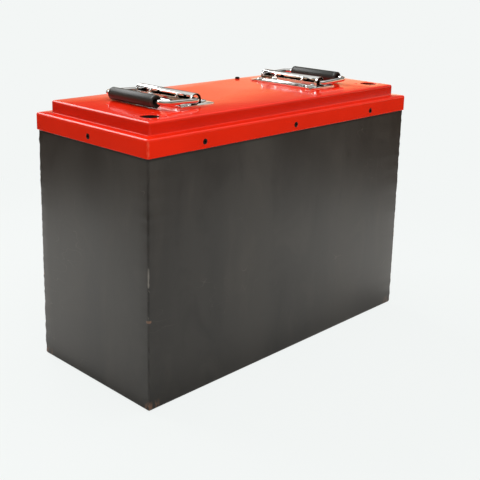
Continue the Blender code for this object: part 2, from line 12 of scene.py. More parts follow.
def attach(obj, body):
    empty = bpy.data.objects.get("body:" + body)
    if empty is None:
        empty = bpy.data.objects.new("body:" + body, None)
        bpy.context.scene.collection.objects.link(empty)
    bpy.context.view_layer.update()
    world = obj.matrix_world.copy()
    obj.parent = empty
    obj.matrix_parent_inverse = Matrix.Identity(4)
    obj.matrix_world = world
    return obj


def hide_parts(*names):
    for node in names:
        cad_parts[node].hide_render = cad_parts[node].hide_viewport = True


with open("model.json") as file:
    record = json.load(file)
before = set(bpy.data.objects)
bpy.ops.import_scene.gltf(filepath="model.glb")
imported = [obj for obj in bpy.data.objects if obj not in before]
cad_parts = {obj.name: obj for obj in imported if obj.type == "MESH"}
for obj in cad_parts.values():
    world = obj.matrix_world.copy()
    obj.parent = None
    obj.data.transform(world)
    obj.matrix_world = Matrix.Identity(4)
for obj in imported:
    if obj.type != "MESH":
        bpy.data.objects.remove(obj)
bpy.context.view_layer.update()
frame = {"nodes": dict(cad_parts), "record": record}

# Case and lid
LENGTH, WIDTH = 0.384, 0.170
SHEET = 0.0010
CASE_X, CASE_Y = 0.1907, 0.0837
LID_TOP, LEDGE_TOP, SKIRT_BOTTOM = 0.267, 0.255, 0.238
GASKET, GASKET_ROOM = 0.0022, 0.0006
CASE_TOP = LEDGE_TOP - SHEET - GASKET - GASKET_ROOM
SCREW_Z, SCREW_PITCH = 0.2445, 0.125

# Handles
HANDLE_X = {"left": -0.091, "right": 0.0965}
HANDLE_Y = 0.006
AXIS_Z = LID_TOP + 0.0052
BARREL_BORE, BARREL_Y = 0.0054, 0.0417
WINDOWS = ((-0.0392, -0.0210), (-0.0186, 0.0186), (0.0210, 0.0392))
WINDOW_LOW, WINDOW_HIGH = 0.0006, 0.0042  # above the hinge axis
DROOP = 0.045  # fall of the plate's end tabs, as a slope
GRIP_Z = 0.2737
RIVET_X, RIVET_Y = 0.0139, 0.0364

# Terminals and vent
TERMINAL_X = {"positive": -0.161, "negative": 0.1655}
TERMINAL_Y = -0.051
PEG_PITCH = 0.010
VENT = (0.072, 0.069)

# Stage
BACKDROP = (0.896, 0.921, 0.913)
RING_INNER, RING_OUTER = 0.74, 7 * 0.74

SHARP_ANGLE = 35.0
CORNERS = ((-1, -1), (-1, 1), (1, -1), (1, 1))


# ---------------------------------------------------------------- mesh helpers


def mesh_object(name, shape, angle=SHARP_ANGLE):
    """Turns a bmesh into a linked object, smooth but for edges sharper than the angle."""
    bmesh.ops.recalc_face_normals(shape, faces=shape.faces)
    mesh = bpy.data.meshes.new(name)
    shape.to_mesh(mesh)
    shape.free()
    mesh.shade_smooth()
    mesh.set_sharp_from_angle(angle=math.radians(angle))
    made = bpy.data.objects.new(name, mesh)
    bpy.context.scene.collection.objects.link(made)
    return made


def rounded_rectangle(half_x, half_y, radius, steps, sides=0):
    """Points of a rounded rectangle, anticlockwise, with extra points along its straight sides."""
    points = []
    for corner in range(4):
        cx = (half_x - radius) * (1 if corner in (0, 3) else -1)
        cy = (half_y - radius) * (1 if corner in (0, 1) else -1)
        for step in range(steps + 1):
            a = math.pi / 2 * (corner + step / steps)
            points.append((cx + radius * math.cos(a), cy + radius * math.sin(a)))
        if sides:
            last = points[-1]
            a = math.pi / 2 * (corner + 1)
            nx = (half_x - radius) * (1 if corner in (3, 2) else -1) + radius * math.cos(a)
            ny = (half_y - radius) * (1 if corner in (3, 0) else -1) + radius * math.sin(a)
            for i in range(1, sides):
                t = i / sides
                points.append((last[0] + (nx - last[0]) * t, last[1] + (ny - last[1]) * t))
    return points


def circle(radius, z, segments):
    """Points of a level circle about Z."""
    turns = [2 * math.pi * i / segments for i in range(segments)]
    return [(radius * math.cos(a), radius * math.sin(a), z) for a in turns]


def loft(shape, rows, ring=False, caps=True):
    """Faces between closed rows of points, with caps unless the rows close into a ring."""
    made = [[shape.verts.new(p) for p in row] for row in rows]
    pairs = list(zip(made, made[1:])) + ([(made[-1], made[0])] if ring else [])
    if caps and not ring:
        shape.faces.new(made[0])
        shape.faces.new(made[-1])
    for low, high in pairs:
        for i in range(len(low)):
            j = (i + 1) % len(low)
            shape.faces.new((low[i], low[j], high[j], high[i]))


def arc(cx, cy, radius, start, end, steps):
    """Points on an arc; angles in degrees."""
    found = []
    for i in range(steps + 1):
        a = math.radians(start + (end - start) * i / steps)
        found.append((cx + radius * math.cos(a), cy + radius * math.sin(a)))
    return found


def lathe(name, profile, segments, ring=False, angle=SHARP_ANGLE):
    """Turns (radius, height) points about Z. Zero radius at an end closes to a point."""
    shape = bmesh.new()
    rows = []
    for radius, height in profile:
        if radius < 1e-7:
            rows.append([shape.verts.new((0, 0, height))])
        else:
            rows.append([shape.verts.new(p) for p in circle(radius, height, segments)])
    pairs = list(zip(rows, rows[1:])) + ([(rows[-1], rows[0])] if ring else [])
    for low, high in pairs:
        for i in range(segments):
            j = (i + 1) % segments
            loop = [low[i % len(low)], low[j % len(low)], high[j % len(high)], high[i % len(high)]]
            clean = []
            for v in loop:
                if v not in clean:
                    clean.append(v)
            if len(clean) > 2:
                shape.faces.new(clean)
    if not ring:
        for row in (rows[0], rows[-1]):
            if len(row) > 2:
                shape.faces.new(row)
    return mesh_object(name, shape, angle)


def box_into(shape, low, high):
    """Adds a box between two corners and gives its vertices."""
    made = bmesh.ops.create_cube(shape, size=1.0)["verts"]
    bmesh.ops.scale(shape, vec=[b - a for a, b in zip(low, high)], verts=made)
    bmesh.ops.translate(shape, vec=[(a + b) / 2 for a, b in zip(low, high)], verts=made)
    return made


def column_into(shape, profile, matrix, segments):
    """A closed turned solid of (radius, height) points, placed by a matrix."""
    before = set(shape.verts)
    loft(shape, [circle(r, z, segments) for r, z in profile])
    bmesh.ops.transform(shape, matrix=matrix, verts=[v for v in shape.verts if v not in before])


def cut(target, shape, operation="DIFFERENCE"):
    """Applies a boolean with a throwaway cutter."""
    tool = mesh_object("cutter", shape)
    step = target.modifiers.new("cut", "BOOLEAN")
    step.operation = operation
    step.object = tool
    apply_modifiers(target)
    bpy.data.objects.remove(tool)


def apply_modifiers(target):
    """Bakes the modifiers into the mesh and shades it again."""
    bpy.context.view_layer.update()
    depsgraph = bpy.context.evaluated_depsgraph_get()
    mesh = bpy.data.meshes.new_from_object(target.evaluated_get(depsgraph))
    target.modifiers.clear()
    old = target.data
    target.data = mesh
    mesh.name = target.name
    bpy.data.meshes.remove(old)
    mesh.shade_smooth()
    mesh.set_sharp_from_angle(angle=math.radians(SHARP_ANGLE))


def soften(target, width, segments, angle):
    """A small bevel on the sharp edges, with the flat faces' normals kept flat."""
    step = target.modifiers.new("soften", "BEVEL")
    step.width = width
    step.segments = segments
    step.limit_method = "ANGLE"
    step.angle_limit = math.radians(angle)
    step.harden_normals = True
    step.miter_outer = "MITER_ARC"


def tube(name, points, radius):
    """A round rod with capped ends along the points."""
    curve = bpy.data.curves.new(name, "CURVE")
    curve.dimensions = "3D"
    curve.bevel_depth = radius
    curve.bevel_resolution = 10
    curve.use_fill_caps = True
    line = curve.splines.new("POLY")
    line.points.add(len(points) - 1)
    for target, point in zip(line.points, points):
        target.co = (*point, 1.0)
    made = bpy.data.objects.new(name, curve)
    bpy.context.scene.collection.objects.link(made)
    return made


def finish(piece, surface, body, slot, *nodes):
    """Gives the piece its material and its body, and hides the CAD nodes it stands for. The slot argument is
    not used.
    """
    piece.data.materials.clear()
    piece.data.materials.append(surface)
    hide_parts(*nodes)
    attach(piece, body)


# ---------------------------------------------------------------- materials


def set_stops(line, stops):
    """Fills a colour ramp; a stop is (position, number or colour)."""
    while len(line.elements) < len(stops):
        line.elements.new(0.5)
    for element, (at, colour) in zip(line.elements, stops):
        element.position = at
        shade = colour if isinstance(colour, tuple) else (colour, colour, colour)
        element.color = (*shade, 1.0)


class Nodes:
    """A short way to write a Principled material's node tree."""

    def __init__(self, name):
        self.material = bpy.data.materials.new(name)
        self.material.use_nodes = True
        self.tree = self.material.node_tree
        self.shader = self.tree.nodes["Principled BSDF"]
        self.coords = self.add("ShaderNodeTexCoord").outputs["Object"]

    def add(self, kind, **values):
        """A new node with some of its properties set."""
        node = self.tree.nodes.new(kind)
        for key, value in values.items():
            setattr(node, key, value)
        return node

    def link(self, source, target):
        self.tree.links.new(source, target)

    def set(self, **values):
        """Plain numbers on the shader's own sockets; an underscore stands for a space."""
        for key, value in values.items():
            self.shader.inputs[key.replace("_", " ")].default_value = value

    def noise(self, scale, detail=3.0, rough=0.5, stretch=(1, 1, 1), at=(0, 0, 0), warp=0.0):
        """Noise in the object's own coordinates, stretched and shifted."""
        place = self.add("ShaderNodeMapping")
        place.inputs["Scale"].default_value = stretch
        place.inputs["Location"].default_value = at
        self.link(self.coords, place.inputs["Vector"])
        node = self.add("ShaderNodeTexNoise")
        node.inputs["Scale"].default_value = scale
        node.inputs["Detail"].default_value = detail
        node.inputs["Roughness"].default_value = rough
        node.inputs["Distortion"].default_value = warp
        self.link(place.outputs[0], node.inputs["Vector"])
        return node.outputs["Fac"]

    def ramp(self, value, stops):
        """The value's colour on a ramp of stops."""
        node = self.add("ShaderNodeValToRGB")
        set_stops(node.color_ramp, stops)
        self.link(value, node.inputs["Fac"])
        return node.outputs["Color"]

    def math(self, operation, a, b=None, clamp=False):
        """One arithmetic step on one or two sockets or numbers."""
        node = self.add("ShaderNodeMath", operation=operation, use_clamp=clamp)
        for socket, value in zip(node.inputs, (a, b)):
            if value is None:
                continue
            if isinstance(value, (int, float)):
                socket.default_value = value
            else:
                self.link(value, socket)
        return node.outputs[0]

    def mix(self, factor, a, b, blend="MIX"):
        """Blends b over a by the factor, a socket or a number; a and b are sockets or colours."""
        node = self.add("ShaderNodeMix", data_type="RGBA", blend_type=blend)
        for name, value in (("Factor_Float", factor), ("A_Color", a), ("B_Color", b)):
            socket = next(s for s in node.inputs if s.identifier == name)
            if isinstance(value, (int, float)):
                socket.default_value = value
            elif isinstance(value, tuple):
                socket.default_value = (*value, 1.0)
            else:
                self.link(value, socket)
        return next(s for s in node.outputs if s.identifier == "Result_Color")

    def axes(self):
        """The object's own X, Y and Z."""
        node = self.add("ShaderNodeSeparateXYZ")
        self.link(self.coords, node.inputs[0])
        return node.outputs

    def remap(self, value, low, high, start=0.0, end=1.0, smooth=False):
        """Maps low..high on to start..end and holds it there outside."""
        kind = "SMOOTHSTEP" if smooth else "LINEAR"
        node = self.add("ShaderNodeMapRange", interpolation_type=kind)
        for name, number in (("From Min", low), ("From Max", high), ("To Min", start), ("To Max", end)):
            node.inputs[name].default_value = number
        self.link(value, node.inputs["Value"])
        return node.outputs[0]

    def blend(self, factor, a, b):
        """Mixes two shaders."""
        node = self.add("ShaderNodeMixShader")
        for socket, source in zip(node.inputs, (factor, a, b)):
            self.link(source, socket)
        return node.outputs[0]

    def bump(self, *layers):
        """Stacks (height, distance in metres) layers into the normal."""
        last = None
        for height, distance in layers:
            node = self.add("ShaderNodeBump")
            node.inputs["Strength"].default_value = 1.0
            node.inputs["Distance"].default_value = distance
            self.link(height, node.inputs["Height"])
            if last is not None:
                self.link(last, node.inputs["Normal"])
            last = node.outputs["Normal"]
        self.link(last, self.shader.inputs["Normal"])

    def colour(self, source):
        """Drives the base colour."""
        self.link(source, self.shader.inputs["Base Color"])

    def roughness(self, source, low, high):
        """Drives the roughness from low to high as the source goes from 0 to 1."""
        self.link(self.remap(source, 0.0, 1.0, low, high), self.shader.inputs["Roughness"])


# In the functions below, n is the Nodes helper of the material that is being written.


def corner_distance(n, x, y, half_x, half_y):
    """How far a point is from a box's nearest vertical edge: the larger of its two insets."""
    inset_x = n.math("SUBTRACT", half_x, n.math("ABSOLUTE", x))
    inset_y = n.math("SUBTRACT", half_y, n.math("ABSOLUTE", y))
    return n.math("MAXIMUM", inset_x, inset_y)


def below(n, value, limit, width):
    """1 where value is well under limit, 0 over it, with a soft step of that width."""
    return n.remap(value, limit + width / 2, limit - width / 2)


def near(n, value, at, reach, width):
    """1 where value is within reach of a number, 0 further off, with a soft step of that width."""
    return below(n, n.math("ABSOLUTE", n.math("SUBTRACT", value, at)), reach, width)


def length(n, a, b):
    """The length of a vector with these two parts."""
    return n.math("SQRT", n.math("ADD", n.math("MULTIPLY", a, a), n.math("MULTIPLY", b, b)))


def barrel_painted_shade(n):
    """Mask of painted shade: 1 inside the two hinge barrels, on their end faces and on the lid under them, 0
    outside.
    """
    x, y, z = n.axes()
    sides = [n.math("ABSOLUTE", n.math("SUBTRACT", x, at)) for at in HANDLE_X.values()]
    side = n.math("MINIMUM", *sides)
    up = n.math("MAXIMUM", n.math("SUBTRACT", z, AXIS_Z), 0.0)
    away = length(n, side, up)
    along = n.math("ABSOLUTE", n.math("SUBTRACT", y, HANDLE_Y))
    inside = n.math("MULTIPLY", below(n, away, BARREL_BORE + 0.0003, 0.0002),
                    below(n, along, BARREL_Y - 0.0002, 0.0004))
    end_face = n.math("MULTIPLY", near(n, along, BARREL_Y, 0.0001, 0.0001),
                      below(n, away, BARREL_BORE + 0.0011, 0.0002))
    return n.math("MAXIMUM", inside, end_face)


def hairlines(n, scale, stretch, at, width, patch_scale, patch_from):
    """Thin wandering lines in scattered patches: scratches."""
    wander = n.noise(scale, 1.0, 0.4, stretch=stretch, at=at, warp=0.3)
    line = near(n, wander, 0.5, width, width)
    patch = n.ramp(n.noise(patch_scale, 2.0, 0.5, at=at), [(patch_from, 0.0), (patch_from + 0.06, 1.0)])
    return n.math("MULTIPLY", line, patch)


def case_paint():
    """Satin charcoal powder coat: mottling, rub bands, smears, scratches, weld marks on the edges, and a
    painted shadow line under the lid's skirt.
    """
    n = Nodes("case_charcoal_paint")
    broad = n.noise(4.5, 4.0, 0.55, at=(0.3, 0.1, 0.2))
    bands = n.noise(15.0, 3.0, 0.5, stretch=(1.0, 1.0, 0.05), at=(0.15, 0.3, 0.0))
    smear = n.noise(24.0, 5.0, 0.62, stretch=(1.0, 1.0, 0.45), warp=0.7)
    fine = n.noise(170.0, 4.0, 0.65)
    base = n.ramp(broad, [(0.3, (0.0122, 0.0121, 0.0110)), (0.7, (0.0168, 0.0167, 0.0152))])
    base = n.mix(n.ramp(bands, [(0.42, 0.0), (0.62, 0.60)]), base, (0.0290, 0.0280, 0.0250))
    base = n.mix(n.ramp(smear, [(0.52, 0.0), (0.78, 0.50)]), base, (0.048, 0.045, 0.039))
    base = n.mix(n.ramp(smear, [(0.26, 0.75), (0.44, 0.0)]), base, (0.0030, 0.0030, 0.0028))
    scratch = n.math("ADD", hairlines(n, 30.0, (1.0, 1.0, 3.0), (0.7, 0.2, 0.4), 0.0035, 14.0, 0.60),
                     hairlines(n, 42.0, (2.0, 2.0, 0.6), (0.1, 0.9, 0.3), 0.0030, 11.0, 0.62), clamp=True)
    base = n.mix(n.math("MULTIPLY", scratch, 0.55), base, (0.085, 0.080, 0.070))
    x, y, z = n.axes()
    edge = corner_distance(n, x, y, CASE_X, CASE_Y)
    spots = n.noise(70.0, 5.0, 0.7, stretch=(1, 1, 0.45), at=(0.4, 0.1, 0.2))
    chips = n.noise(240.0, 4.0, 0.6, stretch=(1, 1, 0.35), at=(0.9, 0.4, 0.6))
    on_edge = below(n, edge, 0.0013, 0.0008)
    on_foot = n.math("MULTIPLY", below(n, z, 0.008, 0.006), below(n, edge, 0.012, 0.010))
    weld = n.math("MULTIPLY", on_edge, n.ramp(spots, [(0.48, 1.0), (0.62, 0.10)]))
    worn_z, nick_z = 0.115, 0.0885
    worn = near(n, z, worn_z, 0.024, 0.012)
    bare = n.math("MULTIPLY", n.math("MULTIPLY", on_edge, n.ramp(chips, [(0.50, 0.0), (0.54, 0.8)])), worn)
    nick = n.math("MULTIPLY", near(n, z, nick_z, 0.0011, 0.0006), below(n, edge, 0.0032, 0.0012))
    rust = n.math("MAXIMUM", n.math("MULTIPLY", on_foot, n.ramp(chips, [(0.50, 0.0), (0.56, 1.0)])), nick)
    rim = n.math("MULTIPLY", below(n, z, 0.0012, 0.0012), n.ramp(chips, [(0.3, 0.15), (0.6, 0.6)]))
    # Painted shadow: a near-black band on the wall just under the lid's skirt; below, it shares the weld
    # marks' colour.
    shadow_under_skirt = near(n, z, SKIRT_BOTTOM, 0.0022, 0.0012)
    weld_marks_and_shadow = n.math("MAXIMUM", n.math("MULTIPLY", weld, 0.95), shadow_under_skirt)
    base = n.mix(weld_marks_and_shadow, base, (0.0020, 0.0020, 0.0019))
    base = n.mix(bare, base, (0.20, 0.19, 0.17))
    base = n.mix(rim, base, (0.085, 0.056, 0.038))
    base = n.mix(rust, base, (0.15, 0.080, 0.048))
    n.colour(base)
    rubbed = n.mix(0.5, smear, bands)
    n.roughness(n.mix(n.math("MULTIPLY", weld, 0.8), rubbed, (1.0, 1.0, 1.0)), 0.24, 0.46)
    n.set(Specular_IOR_Level=0.8)
    peel = n.noise(700.0, 2.0, 0.5)
    wave = n.noise(7.0, 1.0, 0.4)
    rough_edge = n.math("MULTIPLY", on_edge, n.math("SUBTRACT", n.mix(0.5, spots, fine), 0.5))
    n.bump((wave, 0.0016), (peel, 0.00002), (fine, 0.00003), (rough_edge, 0.0020))
    return n.material


def lid_paint():
    """Glossy orange-red powder coat: orange peel, light haze, corner weld marks with a painted highlight
    line, and painted shade on the riser and under the hinges.
    """
    n = Nodes("lid_red_paint")
    broad = n.noise(9.0, 4.0, 0.55)
    haze = n.noise(34.0, 5.0, 0.6, warp=0.8)
    fine = n.noise(240.0, 3.0, 0.6)
    base = n.ramp(broad, [(0.3, (0.70, 0.0165, 0.0030)), (0.7, (0.79, 0.0205, 0.0040))])
    base = n.mix(n.ramp(haze, [(0.62, 0.0), (0.88, 0.18)]), base, (0.86, 0.085, 0.040))
    x, y, z = n.axes()
    edge = corner_distance(n, x, y, LENGTH / 2, WIDTH / 2)
    # Lighter speckled band along the vertical corners: weld marks with a painted highlight line.
    weld_seam_and_highlight = n.math("MULTIPLY", below(n, edge, 0.0019, 0.0008), n.ramp(fine, [(0.42, 0.0), (0.66, 0.55)]))
    base = n.mix(weld_seam_and_highlight, base, (0.80, 0.13, 0.07))
    # Painted shade: the riser between the ledge and the top is painted darker.
    riser_painted_shade = near(n, z, (LID_TOP + LEDGE_TOP) / 2, 0.0052, 0.0020)
    base = n.mix(n.math("MULTIPLY", riser_painted_shade, 0.5), base, (0.42, 0.0060, 0.0012))
    # Painted shade: the lid goes near-black under the hinge barrels.
    base = n.mix(barrel_painted_shade(n), base, (0.020, 0.006, 0.004))
    n.colour(base)
    n.roughness(haze, 0.09, 0.17)
    n.set(Specular_IOR_Level=0.45, Coat_Weight=0.15, Coat_Roughness=0.05)
    peel = n.noise(520.0, 2.0, 0.5)
    wave = n.noise(12.0, 1.5, 0.45)
    n.bump((wave, 0.00035), (peel, 0.000025))
    return n.material


def chrome_plate():
    """Bright plating over pressed steel: slight waves, polish lines, dull spots, and painted shade in the
    barrel bores and on their end faces, which also stand for bare cut edges.
    """
    n = Nodes("handle_chrome")
    dull = n.noise(130.0, 5.0, 0.65)
    lines = n.noise(420.0, 2.0, 0.5, stretch=(1.0, 0.08, 1.0))
    bright = n.ramp(dull, [(0.35, (0.80, 0.80, 0.79)), (0.7, (0.93, 0.93, 0.92))])
    # Painted shade: near-black inside the barrel bores and on their end faces; the end faces also stand for
    # bare cut edges.
    n.colour(n.mix(barrel_painted_shade(n), bright, (0.030, 0.026, 0.023)))
    n.roughness(n.mix(0.5, dull, lines), 0.03, 0.09)
    n.set(Metallic=1.0)
    wave = n.noise(70.0, 2.0, 0.5)
    n.bump((wave, 0.0003), (lines, 0.000008))
    return n.material


def grip_rubber():
    """Moulded black rubber: satin, faint grain and pale rubbed dust."""
    n = Nodes("grip_black_rubber")
    dust = n.noise(60.0, 5.0, 0.65, stretch=(1, 0.35, 1))
    grain = n.noise(900.0, 2.0, 0.6)
    n.colour(n.ramp(dust, [(0.3, (0.0085, 0.0095, 0.0085)), (0.75, (0.020, 0.022, 0.019))]))
    n.roughness(dust, 0.34, 0.50)
    n.bump((grain, 0.00004), (dust, 0.00008))
    return n.material


def plain(name, dark, light, rough, metallic=0.0, scale=60.0, grain=400.0, depth=0.00003,
          stretch=(1, 1, 1), specular=0.5):
    """A two-tone mottled surface with a fine grain."""
    n = Nodes(name)
    mottle = n.noise(scale, 4.0, 0.6, stretch=stretch)
    n.colour(n.ramp(mottle, [(0.3, dark), (0.7, light)]))
    n.roughness(mottle, *rough)
    n.set(Metallic=metallic, Specular_IOR_Level=specular)
    n.bump((n.noise(grain, 3.0, 0.6, stretch=stretch), depth))
    return n.material


# ---------------------------------------------------------------- case


def make_case(surface):
    """The folded box: outer wall in many rows, so that its welded corners can wander a little."""
    corner, foot, top, top_bend = 0.0024, 0.0034, CASE_TOP, 0.0010
    lip, wander_size, wander_reach, wall_rows = 0.0080, 0.00055, 0.004, 90
    rows = []

    def row(inset, z, wander=0.0):
        radius = max(corner - inset, 0.0008)
        points = []
        for x, y in rounded_rectangle(CASE_X - inset, CASE_Y - inset, radius, 6, 14):
            push = 0.0
            if wander:
                from_edge = max(CASE_X - abs(x), CASE_Y - abs(y))
                strength = max(0.0, 1.0 - from_edge / wander_reach)
                push = strength * wander * noise.noise(Vector((x * 40, y * 40, z * 260)))
            points.append((x * (1 + push / CASE_X), y * (1 + push / CASE_Y), z))
        rows.append(points)

    # The rows run up the inside, over the lip and down the outside.
    inner_bend = 0.0012
    for x, z in arc(SHEET + inner_bend, SHEET + inner_bend, inner_bend, 270, 180, 4):
        row(x, z)
    row(SHEET, top - SHEET)
    row(lip, top - SHEET)
    row(lip, top)
    for x, z in arc(top_bend, top - top_bend, top_bend, 90, 180, 4):
        row(x, z)
    for i in range(1, wall_rows):
        row(0.0, top - top_bend + (foot - top + top_bend) * i / wall_rows, wander_size)
    for x, z in arc(foot, foot, foot, 180, 270, 6):
        row(x, z)
    shape = bmesh.new()
    loft(shape, rows)
    case = mesh_object("case_shell", shape, 40.0)
    holes = bmesh.new()
    screw_columns(holes, [(0.0018, 0.0), (0.0018, 0.010)], CASE_X - 0.005, CASE_Y - 0.005)
    cut(case, holes)
    finish(case, surface, "pack", "case_black", "case_body")


def screw_frames():
    """Name and outward-looking matrix for each lid screw, its origin on the skirt's outer face."""
    frames = []
    for i, x in enumerate((-SCREW_PITCH, 0.0, SCREW_PITCH)):
        frames.append((f"front_{i + 1}", (x, -WIDTH / 2, SCREW_Z), 0.0))
        frames.append((f"rear_{i + 1}", (x, WIDTH / 2, SCREW_Z), 180.0))
    frames.append(("left", (-LENGTH / 2, 0.0, SCREW_Z), -90.0))
    frames.append(("right", (LENGTH / 2, 0.0, SCREW_Z), 90.0))
    found = []
    for name, at, angle in frames:
        turn = Matrix.Rotation(math.radians(angle), 4, "Z") @ Matrix.Rotation(math.radians(90), 4, "X")
        found.append((name, Matrix.Translation(at) @ turn))
    return found


def screw_columns(shape, profile, reach_x, reach_y):
    """A column through each screw place; its heights count from reach_x or reach_y outwards."""
    for name, matrix in screw_frames():
        depth = (LENGTH / 2 - reach_x) if name in ("left", "right") else (WIDTH / 2 - reach_y)
        column_into(shape, [(r, z - depth) for r, z in profile], matrix, 24)


# ---------------------------------------------------------------- lid


def make_lid(surface):
    """The stepped lid: skirt, ledge and raised top in one sheet, with its holes cut through."""
    bend, tier, t, corner, fillet = 0.0021, 0.011, SHEET, 0.0026, 0.0004
    rows = []

    def row(inset, z):
        past_riser = inset >= tier - 0.002
        radius = max(corner - (inset - tier if past_riser else inset), 0.0009)
        outline = rounded_rectangle(LENGTH / 2 - inset, WIDTH / 2 - inset, radius, 8, 10)
        rows.append([(x, y, z) for x, y in outline])

    # The rows run down the inside, round the skirt's foot and up the outside.
    inner = bend - t
    for x, z in arc(tier + bend, LID_TOP - bend, inner, 90, 180, 4):
        row(x, z)
    row(tier + t, LEDGE_TOP - t)
    for x, z in arc(bend, LEDGE_TOP - bend, inner, 90, 180, 4):
        row(x, z)
    row(t, SKIRT_BOTTOM + 0.0003)
    row(t - 0.0003, SKIRT_BOTTOM)
    row(0.0004, SKIRT_BOTTOM)
    row(0.0, SKIRT_BOTTOM + 0.0004)
    for x, z in arc(bend, LEDGE_TOP - bend, bend, 180, 90, 8):
        row(x, z)
    for x, z in arc(tier - fillet, LEDGE_TOP + fillet, fillet, 270, 360, 4):
        row(x, z)
    for x, z in arc(tier + bend, LID_TOP - bend, bend, 180, 90, 8):
        row(x, z)
    shape = bmesh.new()
    loft(shape, rows)
    lid = mesh_object("lid_shell", shape, 40.0)
    holes = bmesh.new()
    low, high = LID_TOP - 0.004, LID_TOP + 0.004
    well = [(0.0090, low), (0.0090, LID_TOP - 0.0004), (0.0095, LID_TOP + 0.0001), (0.0095, high)]
    peg_hole = [(0.0017, low), (0.0017, LID_TOP - 0.0003), (0.0021, LID_TOP + 0.0001), (0.0021, high)]
    for x in TERMINAL_X.values():
        column_into(holes, well, Matrix.Translation((x, TERMINAL_Y, 0)), 64)
        for sx, sy in CORNERS:
            at = (x + sx * PEG_PITCH, TERMINAL_Y + sy * PEG_PITCH, 0)
            column_into(holes, peg_hole, Matrix.Translation(at), 24)
    for x in HANDLE_X.values():
        for sx, sy in CORNERS:
            at = (x + sx * RIVET_X, HANDLE_Y + sy * RIVET_Y, 0)
            column_into(holes, [(0.0022, low), (0.0022, high)], Matrix.Translation(at), 20)
    column_into(holes, [(0.0021, low), (0.0021, high)], Matrix.Translation((*VENT, 0)), 24)
    sink = [(0.0018, 0.0), (0.0018, 0.0016), (0.0029, 0.00302), (0.0029, 0.005)]
    screw_columns(holes, sink, LENGTH / 2 - 0.003, WIDTH / 2 - 0.003)
    cut(lid, holes)
    finish(lid, surface, "pack", "lid_red", "lid")


def make_screws(surface):
    """Countersunk hexagon socket screws, head just under the skirt's face."""
    head_r, shank_r, socket_r = 0.0027, 0.0014, 0.00125
    face, cone, tip = -0.00005, -0.0014, -0.0079
    profile = [(0.0, tip), (0.0008, tip), (shank_r, -0.0072), (shank_r, cone)]
    profile += [(head_r, -0.00015), (0.0025, face), (0.0, face)]
    for name, matrix in screw_frames():
        screw = lathe(f"screw_{name}", profile, 32)
        socket = bmesh.new()
        loft(socket, [circle(socket_r, z, 6) for z in (cone, 0.001)])
        cut(screw, socket)
        screw.data.transform(matrix)
        finish(screw, surface, "pack", "black_oxide", f"lid_screw_{name}")


def make_vent(surface):
    """A small push-in plug: barbed stem below the lid, low domed button above it."""
    top, stem, rim = LID_TOP, 0.0017, 0.0027
    profile = [(0.0, top - 0.0045), (0.0010, top - 0.0045), (stem, top - 0.0032)]
    profile += [(0.0013, top - 0.0018), (stem, top - 0.0014), (stem, top + 0.0003)]
    profile += [(rim - 0.0001, top + 0.0003), (rim, top + 0.0005), (rim, top + 0.0009)]
    profile += [(rim - 0.0010 + 0.0010 * math.cos(a), top + 0.0009 + 0.0012 * math.sin(a))
                for a in [math.pi / 2 * i / 6 for i in range(1, 7)]]
    profile += [(0.0007, top + 0.0020), (0.0, top + 0.0018)]
    vent = lathe("vent_button", profile, 40)
    vent.data.transform(Matrix.Translation((*VENT, 0)))
    finish(vent, surface, "pack", "moulded_black", "vent_plug")


# ---------------------------------------------------------------- handles


def offset_path(path, distance):
    """The path moved sideways by a distance."""
    moved = []
    for i, (x, z) in enumerate(path):
        a = path[max(i - 1, 0)]
        b = path[min(i + 1, len(path) - 1)]
        dx, dz = b[0] - a[0], b[1] - a[1]
        size = math.hypot(dx, dz)
        moved.append((x - dz / size * distance, z + dx / size * distance))
    return moved


